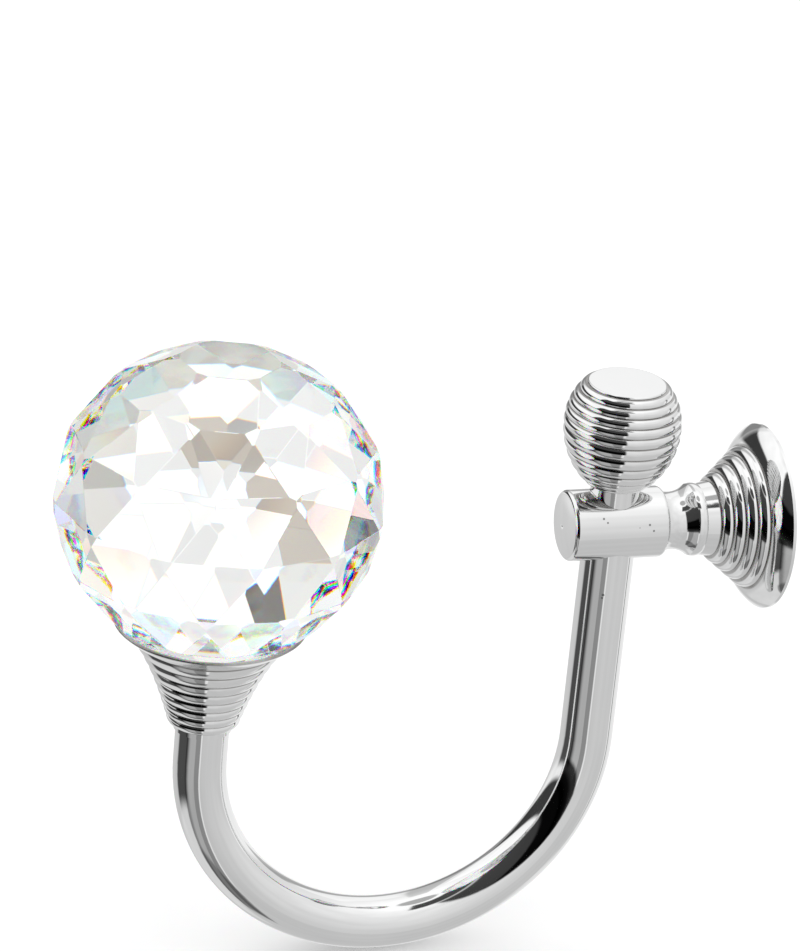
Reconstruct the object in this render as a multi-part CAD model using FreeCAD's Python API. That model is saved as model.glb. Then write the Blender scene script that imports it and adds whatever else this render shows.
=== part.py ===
import FreeCAD, Part
import math
import os
from FreeCAD import Vector

# Curtain holdback: a chrome U-hook with a faceted glass ball on its free end. Millimetres, +Z up.
# The origin is the middle of the rose's back, on the wall. The wall is the XZ plane, the holdback
# stands out from it along -Y, and the hook hangs in the YZ plane.

# Hook tube
leg_out = 30.1            # wall to the axis of the fixed leg
hook_drop = 82.1          # barrel axis down to the tube's centre line at the bottom of the bend
bend_radius = 38.1        # centre line of the U bend
tip_leg = 6.6             # straight tube above the bend at the free end
tube_dia = 10.0
tube_wall = 1.0

# Post: barrel, cove neck, flared collar and the spigot through the rose
barrel_overhang = 9.7     # fixed leg's axis to the outer end of the barrel
barrel_dia = 13.4
barrel_back = 20.5        # wall to the end of the barrel's rounded back edge
barrel_crown = 0.5        # bulge of the outer end face
barrel_edge = 0.9         # rounding of the outer and the back edge
cove_dia = 10.9           # narrowest place of the neck
cove_place = 17.9         # wall to that place
collar_dia = 13.4         # flared end of the neck, on the rose
collar_length = 1.9
collar_bulge = 0.2
spigot_dia = 9.0
web = 7.0                 # metal between the finial's socket and the tube's socket
wall_bore_dia = 5.0       # tapping bore for the wall fixing
wall_bore_depth = 14.0

# Wall rose
rose_dia = 34.8
rose_depth = 13.2         # wall to the collar
rose_neck_dia = 14.2
rose_neck = 2.4           # length of the plain neck in front of the ridges
rose_ridges = 4
rose_ridge_bulge = 0.5
rim_depth = 3.5           # wall to the groove in front of the rim
rim_groove_dia = 26.6
rim_edge = 0.6            # straight edge of the rim at the wall
rim_bulge = 0.45
rose_wall = 2.6           # rim thickness round the hollow back
hollow_top_dia = 12.4     # narrow end of the hollow back
boss = 5.0                # length of the bore for the spigot

# Finial
finial_neck_dia = 9.2
neck_show = 1.7           # neck between the barrel's top and the knob
finial_dia = 22.1
finial_widest = 12.0      # height of the widest place above the knob's foot
finial_height = 19.8      # from the knob's foot to the lip round its top
finial_foot_dia = 9.6
finial_crown_dia = 14.7
finial_top_dia = 14.0
finial_lip = 0.4          # height of the rounded lip round the flat top
finial_lip_bulge = 0.12
finial_ridges = 11
finial_ridge_bulge = 0.45
finial_tap_depth = 12.0

# Cup
collar_height = 1.35      # plain ring on the tube
cup_collar_dia = 10.8
cup_foot_dia = 12.2
cup_ridges = 8
cup_ridge_height = 17.0   # of all the ridges together
ridge_growth = 1.055      # height of a ridge over that of the one below it
cup_ridge_bulge = 0.45
cup_flare = 0.25          # share of the widening that comes late, towards the rim
rim_overhang = 4.3        # from the last groove out to the rim
rim_height = 3.65
flare_bulge = 0.15        # of the rim's underside
lip_wall = 0.6
lip_bulge = 0.2           # rounding of the rim's edge
dish_depth = 2.6          # rim down to the floor that the ball is glued to
cup_tap_depth = 10.0

# Glass ball
ball_dia = 61.4           # across the corners of the facets, before these are cut
ball_height = 58.0        # from pole to pole, before the table and the base are ground
ball_flat_dia = 23.8      # ground base
top_facets = 6            # corners round the table on top; the lower rows have twice as many
row_1 = 24.5              # latitudes of the rows of corners, in degrees
row_2 = 49.0
row_3 = 71.5
first_corner = -3.0       # longitude of a corner on the equator, in degrees from +X
overcut = 0.2             # extra depth of the facets that point down
corner_cut = 0.45         # depth of the small facets ground at the corners
plane_match = 1e-7        # corner points this close to a plane lie in it
point_match = 1e-5        # corner points this close together are one

# Studs, plugs and fits
stud_dia = 5.0
stud_chamfer = 0.5
plug_length = 9.0
tip_plug_length = 5.5
stud_end_gap = 0.6        # between a stud's end and the end of its bore
socket_play = 0.05        # round the tube and the finial's neck in the barrel
spigot_play = 0.05
thread_play = 0.05
stud_clearance = 0.15     # round the stud in the barrel
dish_play = 0.1           # between the ball's corners and the cup

# Places worked out from these
axis_z = Vector(0, 0, 1)
tube_r = tube_dia / 2
tube_bore_r = tube_r - tube_wall
barrel_r = barrel_dia / 2
shoulder = web / 2
bend_z = bend_radius - hook_drop
tip_z = bend_z + tip_leg
leg_y = -leg_out
tip_y = leg_y - 2 * bend_radius
post_reach = leg_out + barrel_overhang
tap_r = stud_dia / 2 + thread_play
ball_r = ball_dia / 2
ball_rise = ball_height / 2
ball_base = ball_rise * math.sqrt(1 - (ball_flat_dia / ball_dia) ** 2)
cup_height = collar_height + cup_ridge_height + rim_height
cup_floor = cup_height - dish_depth
ball_z = tip_z + cup_floor + ball_base


class Outline:
    """Half section of a turned piece, drawn point by point as radius and height above its foot."""

    def __init__(self, radius, height):
        self.first = Vector(radius, 0, height)
        self.last = self.first
        self.edges = []

    def line(self, radius, height):
        end = Vector(radius, 0, height)
        self.edges.append(Part.makeLine(self.last, end))
        self.last = end
        return self

    def arc(self, through, end):
        middle = Vector(through[0], 0, through[1])
        finish = Vector(end[0], 0, end[1])
        self.edges.append(Part.Arc(self.last, middle, finish).toShape())
        self.last = finish
        return self

    def bow(self, end, bulge):
        """Arc that stands out by the bulge, to the right of the way the outline runs."""
        way = Vector(end[0], 0, end[1]) - self.last
        out = Vector(way.z, 0, -way.x).normalize() * bulge
        crest = self.last + way / 2 + out
        return self.arc((crest.x, crest.z), end)

    def ridges(self, grooves, bulge):
        for groove in grooves:
            self.bow(groove, bulge)
        return self

    def turned(self):
        self.edges.append(Part.makeLine(self.last, self.first))
        face = Part.Face(Part.Wire(self.edges))
        return face.revolve(Vector(), axis_z, 360)


def upright(solid, y, z):
    """Stands a turned piece on a vertical axis, with its foot at height z."""
    return solid.translated(Vector(0, y, z))


def off_wall(solid):
    """Lays a turned piece along the barrel axis, so that its heights count from the wall outwards."""
    return solid.rotated(Vector(), Vector(1, 0, 0), 90)


def make_wall_rose():
    rose_r = rose_dia / 2
    groove_r = rim_groove_dia / 2
    neck_r = rose_neck_dia / 2
    bore_r = spigot_dia / 2 + spigot_play
    ridge_top = rose_depth - rose_neck
    hollow_r = rose_r - rose_wall
    hollow_top = rose_depth - boss
    grooves = []
    for k in range(1, rose_ridges + 1):
        share = k / rose_ridges
        radius = groove_r + (neck_r - groove_r) * share
        grooves.append((radius, rim_depth + (ridge_top - rim_depth) * share))
    section = Outline(hollow_r, 0)
    section.line(rose_r, 0)
    section.line(rose_r, rim_edge)
    section.bow((groove_r, rim_depth), rim_bulge)
    section.ridges(grooves, rose_ridge_bulge)
    section.line(collar_dia / 2, rose_depth)
    section.line(bore_r, rose_depth)
    section.line(bore_r, hollow_top)
    section.line(hollow_top_dia / 2, hollow_top)
    section.line(hollow_r, rim_edge)
    return off_wall(section.turned())


def make_post():
    spigot_r = spigot_dia / 2
    collar_r = collar_dia / 2
    cove_r = cove_dia / 2
    neck_r = barrel_r - barrel_edge
    crown_foot = post_reach - barrel_crown
    crown_radius = (neck_r ** 2 + barrel_crown ** 2) / (2 * barrel_crown)
    crown_middle_r = neck_r / 2
    crown_middle = post_reach - crown_radius + math.sqrt(crown_radius ** 2 - crown_middle_r ** 2)
    edge_bulge = barrel_edge * (1 - math.sqrt(0.5))
    section = Outline(0, 0)
    section.line(spigot_r, 0)
    section.line(spigot_r, rose_depth)
    section.line(collar_r, rose_depth)
    section.bow((collar_r, rose_depth + collar_length), collar_bulge)
    section.arc((cove_r, cove_place), (neck_r, barrel_back))
    section.bow((barrel_r, barrel_back + barrel_edge), edge_bulge)
    section.line(barrel_r, crown_foot - barrel_edge)
    section.bow((neck_r, crown_foot), edge_bulge)
    section.arc((crown_middle_r, crown_middle), (0, post_reach))
    post = off_wall(section.turned())
    depth = barrel_r - shoulder + barrel_dia
    tube_socket = Part.makeCylinder(tube_r + socket_play, depth)
    neck_socket = Part.makeCylinder(finial_neck_dia / 2 + socket_play, depth)
    stud_hole = Part.makeCylinder(stud_dia / 2 + stud_clearance, 2 * web)
    wall_bore = off_wall(Part.makeCylinder(wall_bore_dia / 2, wall_bore_depth))
    cuts = [
        upright(tube_socket, leg_y, -shoulder - depth),
        upright(neck_socket, leg_y, shoulder),
        upright(stud_hole, leg_y, -web),
        wall_bore,
    ]
    return post.cut(cuts)


def make_hook_tube():
    outer = Part.makeCircle(tube_r, Vector(0, leg_y, bend_z), axis_z)
    inner = Part.makeCircle(tube_bore_r, Vector(0, leg_y, bend_z), axis_z)
    ring = Part.Face(Part.Wire(outer)).cut(Part.Face(Part.Wire(inner)))
    fixed_leg = ring.extrude(Vector(0, 0, -shoulder - bend_z))
    bend = ring.revolve(Vector(0, leg_y - bend_radius, bend_z), Vector(-1, 0, 0), 180)
    tip = ring.translated(Vector(0, tip_y - leg_y, 0)).extrude(Vector(0, 0, tip_leg))
    return fixed_leg.fuse([bend, tip]).removeSplitter()


def make_plug(length):
    """Tapped plug pressed into a tube end, flush with that end at height 0."""
    plug = Part.makeCylinder(tube_bore_r, length)
    bore = Part.makeCylinder(tap_r, length)
    return plug.cut(bore).translated(Vector(0, 0, -length))


def make_stud(below, above):
    """Threaded stud that reaches this far below and above height 0, with chamfered ends."""
    stud_r = stud_dia / 2
    section = Outline(0, -below)
    section.line(stud_r - stud_chamfer, -below)
    section.line(stud_r, stud_chamfer - below)
    section.line(stud_r, above - stud_chamfer)
    section.line(stud_r - stud_chamfer, above)
    section.line(0, above)
    return section.turned()


def make_finial():
    """Beehive knob: its grooves lie on half ellipses below and above the widest place."""
    knob_foot = barrel_r + neck_show - shoulder
    knob_top = knob_foot + finial_height
    widest = finial_dia / 2 - finial_ridge_bulge
    foot_r = finial_foot_dia / 2
    crown_r = finial_crown_dia / 2
    top_r = finial_top_dia / 2
    foot_turn = -math.acos(foot_r / widest)
    crown_turn = math.acos(crown_r / widest)
    lower_half = -finial_widest / math.sin(foot_turn)
    upper_half = (finial_height - finial_widest) / math.sin(crown_turn)
    grooves = []
    for k in range(1, finial_ridges + 1):
        turn = foot_turn + (crown_turn - foot_turn) * k / finial_ridges
        rise = math.sin(turn) * (lower_half if turn < 0 else upper_half)
        grooves.append((widest * math.cos(turn), knob_foot + finial_widest + rise))
    neck_r = finial_neck_dia / 2
    section = Outline(tap_r, 0)
    section.line(neck_r, 0)
    section.line(neck_r, knob_foot)
    section.line(foot_r, knob_foot)
    section.ridges(grooves, finial_ridge_bulge)
    section.bow((top_r, knob_top + finial_lip), finial_lip_bulge)
    section.line(0, knob_top + finial_lip)
    section.line(0, finial_tap_depth)
    section.line(tap_r, finial_tap_depth)
    return section.turned()


def make_cup():
    """Ridged cup: the ridges widen towards a thin rim that stands round the ball."""
    dish_r = ball_r + dish_play
    dish_rise = ball_rise + dish_play
    centre = cup_floor + ball_base
    rim_inner_r = dish_r * math.sqrt(1 - ((centre - cup_height) / dish_rise) ** 2)
    rim_r = rim_inner_r + lip_wall
    floor_r = dish_r * math.sqrt(1 - (ball_base / dish_rise) ** 2)
    foot_r = cup_foot_dia / 2
    head_r = rim_r - rim_overhang
    ridge_foot = collar_height
    grooves = []
    for k in range(1, cup_ridges + 1):
        share = (ridge_growth ** k - 1) / (ridge_growth ** cup_ridges - 1)
        widen = (1 - cup_flare) * share + cup_flare * share ** 3
        grooves.append((foot_r + (head_r - foot_r) * widen, ridge_foot + cup_ridge_height * share))
    mid_r = (rim_inner_r + floor_r) / 2
    dish_middle = (mid_r, centre - dish_rise * math.sqrt(1 - (mid_r / dish_r) ** 2))
    section = Outline(tap_r, 0)
    section.line(cup_collar_dia / 2, 0)
    section.line(cup_collar_dia / 2, collar_height)
    section.line(foot_r, collar_height)
    section.ridges(grooves, cup_ridge_bulge)
    section.bow((rim_r, cup_height - lip_wall / 2), flare_bulge)
    section.bow((rim_inner_r, cup_height), lip_bulge)
    section.arc(dish_middle, (floor_r, cup_floor))
    section.line(0, cup_floor)
    section.line(0, cup_tap_depth)
    section.line(tap_r, cup_tap_depth)
    return section.turned()


def facet_plane(near, near_half, far, far_half, side, longitude, extra):
    """Outward normal and distance of a facet between two rows of corners.

    In the facet's own meridian plane, its line runs from the row near the equator to the row far
    from it; each half angle says how far round the facet's corners lie from that plane.
    """
    near_x = ball_r * math.cos(math.radians(near)) * math.cos(math.radians(near_half))
    near_z = ball_rise * math.sin(math.radians(near))
    far_x = ball_r * math.cos(math.radians(far)) * math.cos(math.radians(far_half))
    far_z = ball_rise * math.sin(math.radians(far))
    length = math.hypot(far_z - near_z, near_x - far_x)
    out = (far_z - near_z) / length
    rise = (near_x - far_x) / length
    turn = math.radians(longitude)
    normal = Vector(out * math.cos(turn), out * math.sin(turn), side * rise)
    return normal, out * near_x + rise * near_z - extra


def facet_planes():
    """All the planes that the ball is ground to: rings of facets, table, base and corner facets."""
    count = 2 * top_facets
    step = 360 / count
    half = step / 2
    # Each ring: its rows and half angles, how many facets, where the first one lies, and whether it
    # points towards the pole.
    rings = [
        (0.0, half, row_1, 0.0, count, half, True),
        (0.0, 0.0, row_1, half, count, 0.0, False),
        (row_1, half, row_2, 0.0, count, 0.0, True),
        (row_1, 0.0, row_2, half, count, half, False),
        (row_2, half, row_3, 0.0, top_facets, half, True),
        (row_2, half, row_3, step, top_facets, half + step, False),
    ]
    planes = []
    for side in (1, -1):
        for near, near_half, far, far_half, many, first, to_pole in rings:
            points_down = to_pole != (side > 0)
            extra = overcut if points_down else 0.0
            for k in range(many):
                longitude = first_corner + first + k * 360 / many
                planes.append(facet_plane(near, near_half, far, far_half, side, longitude, extra))
    planes.append((Vector(0, 0, 1), ball_rise * math.sin(math.radians(row_3)) - overcut))
    planes.append((Vector(0, 0, -1), ball_base))
    corner_rows = [
        (-row_1, count, half),
        (0.0, count, 0.0),
        (row_2, count, 0.0),
        (row_3, top_facets, half),
    ]
    for latitude, many, first in corner_rows:
        for k in range(many):
            turn = math.radians(first_corner + first + k * 360 / many)
            rise = math.radians(latitude)
            out = ball_r * math.cos(rise)
            corner = Vector(out * math.cos(turn), out * math.sin(turn), ball_rise * math.sin(rise))
            distance = corner.Length - corner_cut
            planes.append((corner.normalize(), distance))
    return planes


def ground_flat(faces, normal, distance):
    """Grinds a convex body, given as its faces' corner points, down to a plane."""
    kept = []
    rim = []
    for points in faces:
        heights = [point.dot(normal) - distance for point in points]
        left = []
        for k, point in enumerate(points):
            height = heights[k]
            if height <= plane_match:
                left.append(point)
            if abs(height) <= plane_match:
                rim.append(point)
            after = heights[(k + 1) % len(points)]
            if min(height, after) < -plane_match and max(height, after) > plane_match:
                step = points[(k + 1) % len(points)] - point
                cut = point + step * (height / (height - after))
                left.append(cut)
                rim.append(cut)
        if len(left) > 2:
            kept.append(left)
    corners = []
    for point in rim:
        if all(point.distanceToPoint(other) > point_match for other in corners):
            corners.append(point)
    if len(corners) > 2:
        middle = sum(corners, Vector()) * (1 / len(corners))
        first = (corners[0] - middle).normalize()
        second = normal.cross(first)
        corners.sort(key=lambda point: math.atan2((point - middle).dot(second), (point - middle).dot(first)))
        kept.append(corners)
    return kept


def make_crystal_ball():
    """A block ground plane by plane to the faceted ball, about the ball's centre."""
    low, high = -ball_dia, ball_dia
    faces = []
    for turn in ((0, 1, 2), (1, 2, 0), (2, 0, 1)):
        for end in (low, high):
            corners = []
            for u, v in ((low, low), (high, low), (high, high), (low, high)):
                place = [0, 0, 0]
                place[turn[0]], place[turn[1]], place[turn[2]] = u, v, end
                corners.append(Vector(*place))
            faces.append(corners)
    for normal, distance in facet_planes():
        faces = ground_flat(faces, normal, distance)
    sides = [Part.Face(Part.makePolygon(points + points[:1])) for points in faces]
    return Part.makeSolid(Part.makeShell(sides))


finial_stud_above = finial_tap_depth - stud_end_gap
finial_stud_below = web + plug_length - stud_end_gap
cup_stud_above = cup_tap_depth - stud_end_gap
cup_stud_below = tip_plug_length - stud_end_gap

nodes = {
    "wall_rose": make_wall_rose(),
    "post": make_post(),
    "finial": upright(make_finial(), leg_y, shoulder),
    "finial_stud": upright(make_stud(finial_stud_below, finial_stud_above), leg_y, shoulder),
    "hook_tube": make_hook_tube(),
    "upper_tube_plug": upright(make_plug(plug_length), leg_y, -shoulder),
    "tip_tube_plug": upright(make_plug(tip_plug_length), tip_y, tip_z),
    "cup": upright(make_cup(), tip_y, tip_z),
    "cup_stud": upright(make_stud(cup_stud_below, cup_stud_above), tip_y, tip_z),
    "crystal_ball": upright(make_crystal_ball(), tip_y, ball_z),
}

os.makedirs("parts", exist_ok=True)
for name, solid in nodes.items():
    solid.exportStep("parts/" + name + ".step")
    print(name, solid.isValid(), len(solid.Solids), round(solid.Volume, 1))
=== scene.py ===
import math

import bmesh
import bpy
from mathutils import Matrix, Vector


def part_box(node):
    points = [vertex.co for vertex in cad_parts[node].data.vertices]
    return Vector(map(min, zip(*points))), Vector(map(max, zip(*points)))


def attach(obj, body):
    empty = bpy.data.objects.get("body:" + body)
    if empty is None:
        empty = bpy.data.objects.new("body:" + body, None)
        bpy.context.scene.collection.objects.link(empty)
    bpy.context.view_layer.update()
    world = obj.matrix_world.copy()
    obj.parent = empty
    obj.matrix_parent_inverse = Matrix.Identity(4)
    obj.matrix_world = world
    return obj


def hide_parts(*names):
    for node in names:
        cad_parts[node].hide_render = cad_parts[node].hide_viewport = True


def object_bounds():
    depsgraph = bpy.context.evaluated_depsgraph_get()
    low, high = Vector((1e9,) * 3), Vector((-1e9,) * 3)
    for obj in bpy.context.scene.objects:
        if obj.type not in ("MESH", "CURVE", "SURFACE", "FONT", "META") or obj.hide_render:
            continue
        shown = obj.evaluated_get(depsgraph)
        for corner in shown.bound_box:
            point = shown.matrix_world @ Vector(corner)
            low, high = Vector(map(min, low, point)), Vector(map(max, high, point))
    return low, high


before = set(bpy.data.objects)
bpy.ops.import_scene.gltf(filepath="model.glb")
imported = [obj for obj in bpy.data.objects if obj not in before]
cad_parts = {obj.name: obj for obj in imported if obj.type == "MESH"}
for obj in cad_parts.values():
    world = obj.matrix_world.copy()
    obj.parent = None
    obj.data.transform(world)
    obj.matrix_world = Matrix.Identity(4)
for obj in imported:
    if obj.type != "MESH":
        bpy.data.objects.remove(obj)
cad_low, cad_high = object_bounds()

# Looks of the curtain holdback: chrome-plated castings and tube, and a ground glass ball. Metres, +Z up.

MM = 0.001
DEGREES = 180 / math.pi       # in a radian

# Picture
picture_size = (800, 951)
camera_turn = 70.59           # degrees round the holdback; 0 looks straight at the wall
camera_rise = 24.02           # degrees above the horizon
camera_roll = 5.46
camera_reach = 767.5 * MM     # camera to the point it looks at
camera_aim = Vector((0, -72.487, 11.856)) * MM
picture_scale = 5.490         # pixels to a millimetre at that point

# Ridges of the turned pieces, as in the solids
finial_ridges = 11
finial_widest = 20.4 * MM     # height of the knob's widest place
finial_lower = (12.0 * MM, 63.08)    # height of the knob below that place, and the angle on its ellipse
finial_upper = (7.8 * MM, 46.10)
finial_change = 0.001 * MM    # half the height over which one ellipse takes over from the other
cup_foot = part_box("cup")[0].z
cup_ridges = 8
cup_ridge_foot = 1.35 * MM    # above the cup's foot
cup_ridge_height = 17.0 * MM
cup_growth = 1.055
cup_rim = 9.15                # count at the cup's lip
rose_ridges = 4
rose_ridge_foot = -3.5 * MM   # out from the wall
rose_ridge_pitch = -1.825 * MM

# Chrome plate
dull_plate = (0.80, 0.805, 0.81, 1)
bright_plate = (0.86, 0.86, 0.855, 1)
pit_colour = (0.10, 0.10, 0.10, 1)
# Painted shade: a dark colour laid into the grooves between ridges and at the cup's lip, where shade falls
groove_shade_colour = (0.20, 0.19, 0.18, 1)
groove_shade_reach = (0.11, 0.03)  # from a groove, as a share of a ridge: where the painted shade begins and is full
rim_shade_edge = 0.03               # half the width of the edge of the painted shade at a rim, as a share of a ridge
lines_across = 6000           # polishing lines to a metre
lines_along = 260
plating_depth = 0.02 * MM     # of the waves, lines and pits
rough_casting = 14.0          # waves of the castings over those of drawn tube
fine_casting = 9.0

# Pits in the plating: place in millimetres and radius
post_pits = (
    ((5.6, -33.91, 3.67), 0.30), ((5.99, -33.19, 3.0), 0.26), ((6.3, -24.91, 2.29), 0.30),
    ((6.6, -24.09, 1.16), 0.28), ((6.44, -26.89, 1.85), 0.14),
)
tube_pits = (((4.65, -31.93, -12.54), 0.36), ((4.61, -32.04, -13.18), 0.28))
pit_floor = 0.4               # radius of a pit's floor over that of its mouth

# Glass ball
edge_polish = 0.06 * MM       # width of the softened edges between facets
glass_bend = 1.52             # index of the glass
colour_split = 0.009          # how far the index for red and for blue lies from it
glue_line = 0.03 * MM         # between the ball's base and the cup's floor
same_place = 1e-6             # points this close are one
same_facet = 0.3              # degrees between the triangles of one facet

# Studio
floor_radius = 900 * MM
floor_sides = 96
floor_gap = 0.05 * MM         # under the hook's bend
floor_light = 1.22            # brightness that lights matt surfaces
backdrop = 1.05               # brightness behind the holdback

# Places of a colour Mix node's sockets
MIX_SHARE = 0
MIX_ONE = 6
MIX_TWO = 7
MIX_RESULT = 2


class Value:
    """A socket in a finish. Sums and products of such values add the Math nodes that work them out."""

    def __init__(self, finish, socket):
        self.finish = finish
        self.socket = socket

    def maths(self, operation, *others):
        terms = dict(enumerate((self,) + others))
        return self.finish.add("Math", {"operation": operation}, terms)

    def __add__(self, other):
        return self.maths("ADD", other)

    def __radd__(self, other):
        return self.maths("ADD", other)

    def __sub__(self, other):
        return self.maths("SUBTRACT", other)

    def __rsub__(self, other):
        return (self * -1) + other

    def __mul__(self, other):
        return self.maths("MULTIPLY", other)

    def __rmul__(self, other):
        return self.maths("MULTIPLY", other)

    def __truediv__(self, other):
        return self.maths("DIVIDE", other)

    def __abs__(self):
        return self.maths("ABSOLUTE")

    def out(self, name):
        """Another output of the node that this value comes from."""
        return Value(self.finish, self.socket.node.outputs[name])

    def step(self, low, high):
        """0 below low and 1 above high, or the other way round, with a smooth way between them."""
        settings = {"interpolation_type": "SMOOTHSTEP"}
        if low < high:
            return self.finish.add("MapRange", settings, {"Value": self, "From Min": low, "From Max": high})
        return 1 - self.step(high, low)

    def band(self, low, high, soft):
        """1 between low and high, fading to 0 over soft outside them."""
        return self.step(low - soft, low) * self.step(high + soft, high)


class Finish:
    """The node tree of a material or of the surroundings. add() makes any node."""

    def __init__(self, owner):
        self.owner = owner
        owner.use_nodes = True
        self.tree = owner.node_tree
        self.tree.nodes.clear()

    def add(self, kind, settings=None, sockets=None):
        """A new node with these settings, then these values or links of its sockets."""
        node = self.tree.nodes.new("ShaderNode" + kind)
        for name, setting in (settings or {}).items():
            setattr(node, name, setting)
        for name, value in (sockets or {}).items():
            if isinstance(value, Value):
                self.tree.links.new(value.socket, node.inputs[name])
            else:
                node.inputs[name].default_value = value
        first = next((s for s in node.outputs if s.enabled), None)
        return Value(self, first)

    def place(self):
        """Place on the piece, in metres."""
        return self.add("TexCoord").out("Object")

    def blend(self, share, one, two):
        """A colour that goes from one to two with the share."""
        sockets = {MIX_SHARE: share, MIX_ONE: one, MIX_TWO: two}
        return self.add("Mix", {"data_type": "RGBA", "clamp_factor": True}, sockets).out(MIX_RESULT)

    def noise(self, place, scale, detail=2.0, rough=0.5):
        """Cloudy noise with about scale waves to a unit of the place."""
        sockets = {"Vector": place, "Scale": scale, "Detail": detail, "Roughness": rough}
        return self.add("TexNoise", {}, sockets)

    def streaks(self, place, scales, detail, rough):
        """Noise with a scale of its own along X, Y and Z."""
        stretched = self.add("VectorMath", {"operation": "MULTIPLY"}, {0: place, 1: scales})
        return self.noise(stretched, 1.0, detail, rough)

    def bump(self, height, strength, depth):
        return self.add("Bump", {}, {"Strength": strength, "Distance": depth, "Height": height})

    def done(self, shader):
        """Puts the shader on the surface and gives the finished material."""
        self.add("OutputMaterial", {}, {"Surface": shader})
        return self.owner

    def metal(self, colour, rough, bump):
        """The finished material as bare metal."""
        sockets = {"Base Color": colour, "Metallic": 1.0, "Roughness": rough, "Normal": bump}
        return self.done(self.add("BsdfPrincipled", {}, sockets))


def grey(level):
    return (level, level, level, 1.0)


def material(name):
    return Finish(bpy.data.materials.new(name))


def finial_count(way):
    """Number of the finial's ridge: whole in the grooves, which lie at even angles on half ellipses."""
    lower_height, lower_angle = finial_lower
    upper_height, upper_angle = finial_upper
    lower = lower_height / math.sin(math.radians(lower_angle))
    upper = upper_height / math.sin(math.radians(upper_angle))
    rise = way.out("Z") - finial_widest
    above = rise.step(-finial_change, finial_change)
    turn = (rise * (1 / lower + above * (1 / upper - 1 / lower))).maths("ARCSINE") * DEGREES
    return (turn + lower_angle) * (finial_ridges / (lower_angle + upper_angle))


def cup_count(way):
    """Number of the cup's ridge; each is a little higher than the one below it."""
    share = (way.out("Z") - cup_foot - cup_ridge_foot) / cup_ridge_height
    return (share * (cup_growth ** cup_ridges - 1) + 1).maths("LOGARITHM", cup_growth)


def rose_count(way):
    """Number of the rose's ridge, out from the wall."""
    return (way.out("Y") - rose_ridge_foot) / rose_ridge_pitch


def chrome_finish(name, turned_about, pits=(), ridges=None, rim=None, cast=1.0):
    """Polished chrome plate: faint waves of the plating, polishing lines, haze, pits, painted shade in
    grooves.

    The polishing lines run round the axis "Y" or "Z". Pits are given as their places and radii, ridges as
    the function that counts them and how many they are, and a rim that gets painted shade as the count
    there.
    Castings have stronger waves than drawn tube.
    """
    finish = material(name)
    place = finish.place()
    waves = finish.noise(place, 260.0)
    peel = finish.noise(place, 1500.0, detail=1.0)
    haze = finish.noise(place, 90.0, detail=4.0, rough=0.6)
    specks = finish.noise(place, 5200.0)
    scales = tuple(lines_across if axis == turned_about else lines_along for axis in "XYZ")
    lines = finish.streaks(place, scales, detail=3.0, rough=0.7)
    rough = 0.035 + 0.05 * haze.step(0.42, 0.75)
    rough = rough + 0.03 * lines.step(0.45, 0.8) + 0.03 * specks.step(0.66, 0.8)
    colour = finish.blend(haze, dull_plate, bright_plate)
    height = waves * (0.35 * cast) + peel * (0.05 * cast) + lines * 0.012
    for spot, radius in pits:
        reach = finish.add("VectorMath", {"operation": "DISTANCE"}, {0: place, 1: Vector(spot) * MM})
        pit = reach.out("Value").step(radius * MM, radius * pit_floor * MM)
        height = height - pit * 1.2
        colour = finish.blend(pit * 0.8, colour, pit_colour)
        rough = rough + pit * 0.3
    if ridges:
        counter, count = ridges
        turns = counter(finish.add("SeparateXYZ", {}, {0: place}))
        from_groove = abs(turns - turns.maths("ROUND"))
        # Painted shade: the plate's colour is darkened near each groove between the ridges, where shade
        # falls
        painted_shade = from_groove.step(*groove_shade_reach) * turns.band(-0.3, count + 0.3, 0.1)
        if rim:
            # Painted shade along the cup's lip, beside the ball
            painted_shade = painted_shade + turns.step(rim - rim_shade_edge, rim + rim_shade_edge)
        painted_shade = painted_shade * (0.55 + 0.45 * haze.step(0.3, 0.6))
        # The painted shade darkens the plate's colour and also roughens it
        colour = finish.blend(painted_shade * 0.8, colour, groove_shade_colour)
        rough = rough + painted_shade * 0.25
    return finish.metal(colour, rough, finish.bump(height, 0.10, plating_depth))


def zinc_finish(name):
    """Zinc-plated steel of the hidden studs and plugs: bluish grey with a mottled passivated sheen."""
    finish = material(name)
    place = finish.place()
    mottle = finish.noise(place, 420.0, detail=4.0, rough=0.6)
    grain = finish.noise(place, 2600.0)
    colour = finish.blend(mottle.step(0.3, 0.7), (0.47, 0.48, 0.50, 1), (0.66, 0.66, 0.64, 1))
    return finish.metal(colour, 0.28 + 0.22 * mottle, finish.bump(grain, 0.3, plating_depth))


def glass_finish(name):
    """Clear ground glass that splits light into its colours, with faint polishing lines and smudges.

    The colours part where light enters, so that each way through the glass has one colour. Red, green and
    blue take a third of the light each, three times as strong, so that together they are clear.
    """
    finish = material(name)
    place = finish.place()
    lines = finish.streaks(place, (900, 2600, 420), detail=2.0, rough=0.6)
    waves = finish.noise(place, 120.0, detail=1.0)
    smudge = finish.noise(place, 70.0, detail=3.0, rough=0.6)
    bump = finish.bump(lines * 0.3 + waves, 0.04, 0.02 * MM)
    rough = 0.012 * smudge.step(0.6, 0.75)

    def glass(colour, bend):
        sockets = {"Color": colour, "Roughness": rough, "IOR": bend, "Normal": bump}
        return finish.add("BsdfGlass", {}, sockets)

    red = glass((3, 0, 0, 1), glass_bend - colour_split)
    green = glass((0, 3, 0, 1), glass_bend)
    blue = glass((0, 0, 3, 1), glass_bend + colour_split)
    red_green = finish.add("MixShader", {}, {0: 1 / 2, 1: red, 2: green})
    entering = finish.add("MixShader", {}, {0: 1 / 3, 1: red_green, 2: blue})
    leaving = glass((0.985, 0.992, 0.985, 1), glass_bend)
    inside = finish.add("NewGeometry").out("Backfacing")
    return finish.done(finish.add("MixShader", {}, {0: inside, 1: entering, 2: leaving}))


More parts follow.
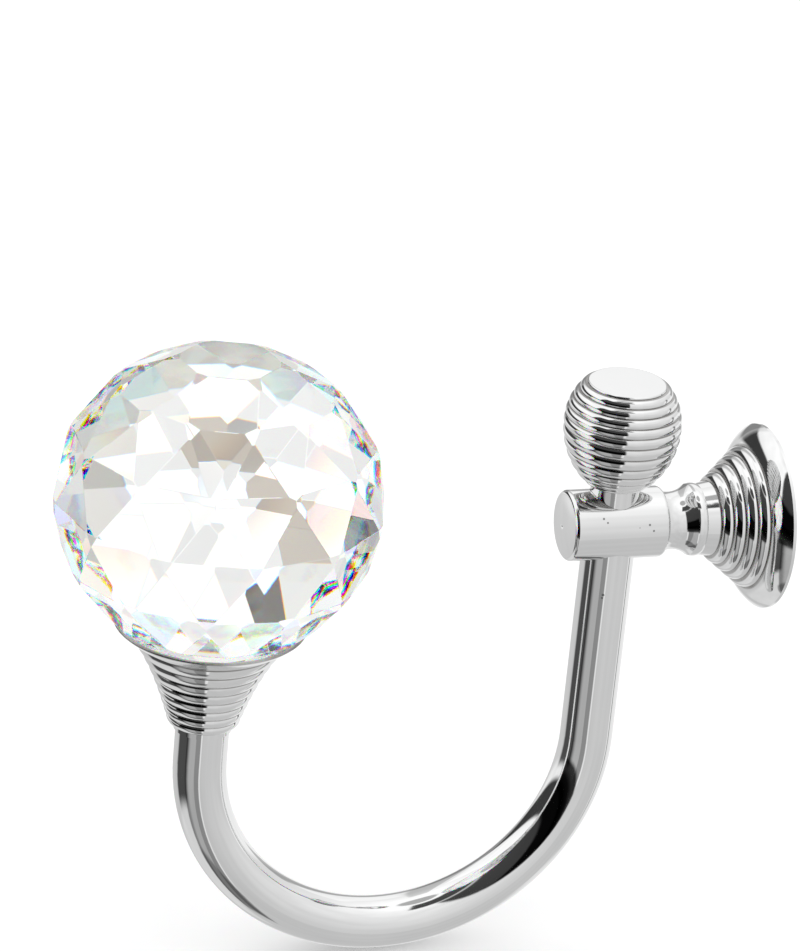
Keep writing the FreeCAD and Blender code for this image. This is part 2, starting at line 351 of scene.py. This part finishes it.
def ground_finish(name):
    """The ball's ground and silvered base, seen through the glass: frosted, with grinding streaks."""
    finish = material(name)
    place = finish.place()
    lines = finish.streaks(place, (2600, 260, 260), detail=3.0, rough=0.65)
    patches = finish.noise(place, 160.0, detail=3.0, rough=0.6)
    colour = finish.blend(lines.step(0.3, 0.7), (0.62, 0.56, 0.49, 1), (0.93, 0.92, 0.90, 1))
    colour = finish.blend(patches.step(0.45, 0.65) * 0.6, colour, (0.96, 0.95, 0.94, 1))
    return finish.metal(colour, 0.22 + 0.2 * lines, finish.bump(lines, 0.4, 0.05 * MM))


def floor_finish(name):
    """Matt white studio floor."""
    finish = material(name)
    grain = finish.noise(finish.place(), 60.0, detail=3.0)
    colour = finish.blend(grain, grey(0.90), grey(0.93))
    sockets = {"Base Color": colour, "Roughness": 0.8, "Specular IOR Level": 0.1}
    return finish.done(finish.add("BsdfPrincipled", {}, sockets))


def polished_ball():
    """The faceted ball with its edges softened by polishing, and its base as a surface of its own."""
    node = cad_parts["crystal_ball"]
    work = bmesh.new()
    work.from_mesh(node.data)
    bmesh.ops.remove_doubles(work, verts=work.verts, dist=same_place)
    bmesh.ops.dissolve_limit(work, angle_limit=math.radians(same_facet), verts=work.verts, edges=work.edges)
    bmesh.ops.bevel(work, geom=list(work.edges), offset=edge_polish, offset_type="OFFSET", segments=1,
                    affect="EDGES", clamp_overlap=True)
    bmesh.ops.recalc_face_normals(work, faces=work.faces)
    foot = min(vertex.co.z for vertex in work.verts)
    for face in work.faces:
        face.smooth = False
        if face.calc_center_median().z < foot + same_place:
            face.material_index = 1
            for vertex in face.verts:
                vertex.co.z += glue_line
    mesh = bpy.data.meshes.new("glass_ball")
    work.to_mesh(mesh)
    work.free()
    ball = bpy.data.objects.new("glass_ball", mesh)
    bpy.context.scene.collection.objects.link(ball)
    mesh.materials.append(glass_finish("clear_glass"))
    mesh.materials.append(ground_finish("ground_base"))
    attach(ball, "root")
    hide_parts("crystal_ball")


def dress(node, finish):
    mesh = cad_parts[node].data
    mesh.materials.clear()
    mesh.materials.append(finish)


def white_floor():
    """Large round floor under the hook's bend. Metal and glass show the surroundings in its place."""
    work = bmesh.new()
    bmesh.ops.create_circle(work, cap_ends=True, segments=floor_sides, radius=floor_radius)
    mesh = bpy.data.meshes.new("floor")
    work.to_mesh(mesh)
    work.free()
    floor = bpy.data.objects.new("floor", mesh)
    floor.location.z = cad_low.z - floor_gap
    floor.visible_glossy = False
    floor.visible_transmission = False
    mesh.materials.append(floor_finish("white_floor"))
    bpy.context.scene.collection.objects.link(floor)


def studio():
    """A light tent with pale, grey and dark cards. Metal and glass have cards of their own.

    The directions are given in degrees: the turn round the holdback, 0 straight out from the wall, and the
    rise above the horizon. A card spans a lowest to a highest turn and rise, each with a soft edge.
    """
    world = bpy.data.worlds.new("studio")
    world.cycles.sampling_method = "NONE"
    bpy.context.scene.world = world
    room = Finish(world)
    place = room.add("TexCoord").out("Generated")
    way = room.add("SeparateXYZ", {}, {0: place})
    turn = way.out("X").maths("ARCTAN2", way.out("Y") * -1) * DEGREES
    rise = way.out("Z").maths("ARCSINE") * DEGREES

    def card(turns, rises):
        return turn.band(*turns) * rise.band(*rises)

    # What the metal mirrors: a tent that brightens upwards
    level = 0.62 + 0.18 * rise.step(-40, 5) + 0.14 * rise.step(5, 35) + 0.25 * rise.step(35, 70)

    # Its pale cards
    low = rise.band(-50, -4, 9)
    pale_back = (turn.step(-90, -104) + turn.step(172, 178)) * low
    pale_left = card((-70, 2, 6), (-14, 45, 6))
    pale_below = card((-80, 4, 6), (-75, -46, 6))
    pale_high = card((-140, -104, 5), (14, 40, 6))
    level = level + 0.26 * pale_back + 0.22 * pale_left + 0.14 * pale_below + 0.16 * pale_high

    # Its grey cards, with a bright edge beside them
    grey_front = card((-30, 12, 12), (-38, -18, 6))
    grey_right = card((12, 72, 4), (-75, -18, 6))
    right_depth = 0.28 + 0.28 * turn.band(54, 70, 3) + 0.30 * turn.step(32, 18)
    bright_edge = turn.band(73.5, 77, 1.5) * low
    level = level * (1 - 0.88 * grey_front) * (1 - right_depth * grey_right) + 0.28 * bright_edge

    # Its dark cards
    dark_strip = card((2, 76, 5), (-17, -4, 3))
    dark_below = card((6, 76, 5), (-78, -60, 5))
    dark_horizon = card((-148, 76, 4), (-5, 12, 5)) * (1 - 0.5 * turn.step(-70, -80))
    dark_front = card((6, 78, 5), (-10, 50, 8)) + card((30, 100, 5), (58, 72, 4))
    dark_edge = card((-98, -82, 3), (-6, 58, 6))
    dark_back = card((-177.5, -173.5, 1.5), (-45, 12, 6))
    dark_top = rise.step(78, 81)
    level = level * (1 - 0.93 * dark_strip) * (1 - 0.55 * dark_below) * (1 - 0.95 * dark_horizon)
    level = level * (1 - 0.94 * dark_front) * (1 - 0.35 * dark_edge) * (1 - 0.70 * dark_back)
    cloud = room.noise(place, 3.4, detail=3.0)
    level = level * (1 - 0.60 * dark_top) * (0.88 + 0.24 * cloud)

    # What shows through the glass: a white tent behind it, and plain grey and dark cards beside and below
    patch = room.noise(place, 11.0, detail=1.0)
    below = rise.step(-58, -72)
    side = turn.step(-138, -146) * rise.band(-60, 6, 4) + 0.6 * card((-84, -66, 2), (-3, 6, 2))
    warm = card((-120, -94, 2), (-44, -34, 1.5))
    warm = warm + card((-96, -87, 1.5), (-30, -21, 1.5))
    warm = warm + card((-86, -76, 1.5), (-22, -5, 1.5))
    dark = card((-58, -44, 3), (-9, 6, 3)) + 0.5 * card((10, 75, 5), (-8, 30, 5))
    dark = dark + card((-92, -84, 1), (4.2, 9.5, 0.6))
    clear = 1.12 - 0.24 * patch.step(0.50, 0.55)
    clear = clear * (1 - 0.5 * below) * (1 - 0.38 * side) * (1 - 0.45 * warm) * (1 - 0.82 * dark)
    tint = room.blend(below * 0.9 + side * 0.4, grey(1.0), (0.95, 0.97, 0.88, 1))
    tint = room.blend(warm * 0.9 + dark * 0.5, tint, (1.0, 0.90, 0.79, 1))

    # Which of them a ray meets
    path = room.add("LightPath")
    through = path.out("Is Transmission Ray")
    level = level + path.out("Is Diffuse Ray") * (floor_light - level)
    level = level + through * (clear - level)
    level = level + path.out("Is Camera Ray") * (backdrop - level)
    colour = room.blend(through, grey(1.0), tint)
    light = room.add("Background", {}, {"Color": colour, "Strength": level})
    room.add("OutputWorld", {}, {"Surface": light})


def photo_camera():
    """Camera at the photograph's viewing angle, from the turn, rise and roll given above."""
    turn, rise, roll = (math.radians(v) for v in (camera_turn, camera_rise, camera_roll))
    back = Vector((math.sin(turn) * math.cos(rise), -math.cos(turn) * math.cos(rise), math.sin(rise)))
    level_right = Vector((math.cos(turn), math.sin(turn), 0))
    level_up = back.cross(level_right)
    right = level_right * math.cos(roll) + level_up * math.sin(roll)
    up = level_up * math.cos(roll) - level_right * math.sin(roll)
    data = bpy.data.cameras.new("photo_camera")
    data.sensor_width = 36.0
    focal_pixels = picture_scale * camera_reach / MM
    data.lens = data.sensor_width * focal_pixels / max(picture_size)
    data.clip_start = 0.01
    data.clip_end = 20.0
    camera = bpy.data.objects.new("photo_camera", data)
    turned = Matrix((right, up, back)).transposed().to_4x4()
    camera.matrix_world = Matrix.Translation(camera_aim + back * camera_reach) @ turned
    bpy.context.scene.collection.objects.link(camera)
    bpy.context.scene.camera = camera


finial_grooves = (finial_count, finial_ridges)
cup_grooves = (cup_count, cup_ridges)
rose_grooves = (rose_count, rose_ridges)
dress("hook_tube", chrome_finish("tube_chrome", "Z", pits=tube_pits))
dress("post", chrome_finish("post_chrome", "Y", pits=post_pits))
dress("finial", chrome_finish("finial_chrome", "Z", ridges=finial_grooves, cast=rough_casting))
dress("cup", chrome_finish("cup_chrome", "Z", ridges=cup_grooves, rim=cup_rim, cast=fine_casting))
dress("wall_rose", chrome_finish("rose_chrome", "Y", ridges=rose_grooves, cast=rough_casting))
zinc = zinc_finish("zinc_plate")
for hidden in ("finial_stud", "cup_stud", "upper_tube_plug", "tip_tube_plug"):
    dress(hidden, zinc)
polished_ball()
white_floor()
studio()
photo_camera()

scene = bpy.context.scene
scene.view_settings.view_transform = "Standard"
scene.cycles.max_bounces = 24
scene.cycles.transmission_bounces = 20
scene.cycles.glossy_bounces = 12
scene.cycles.blur_glossy = 0.0
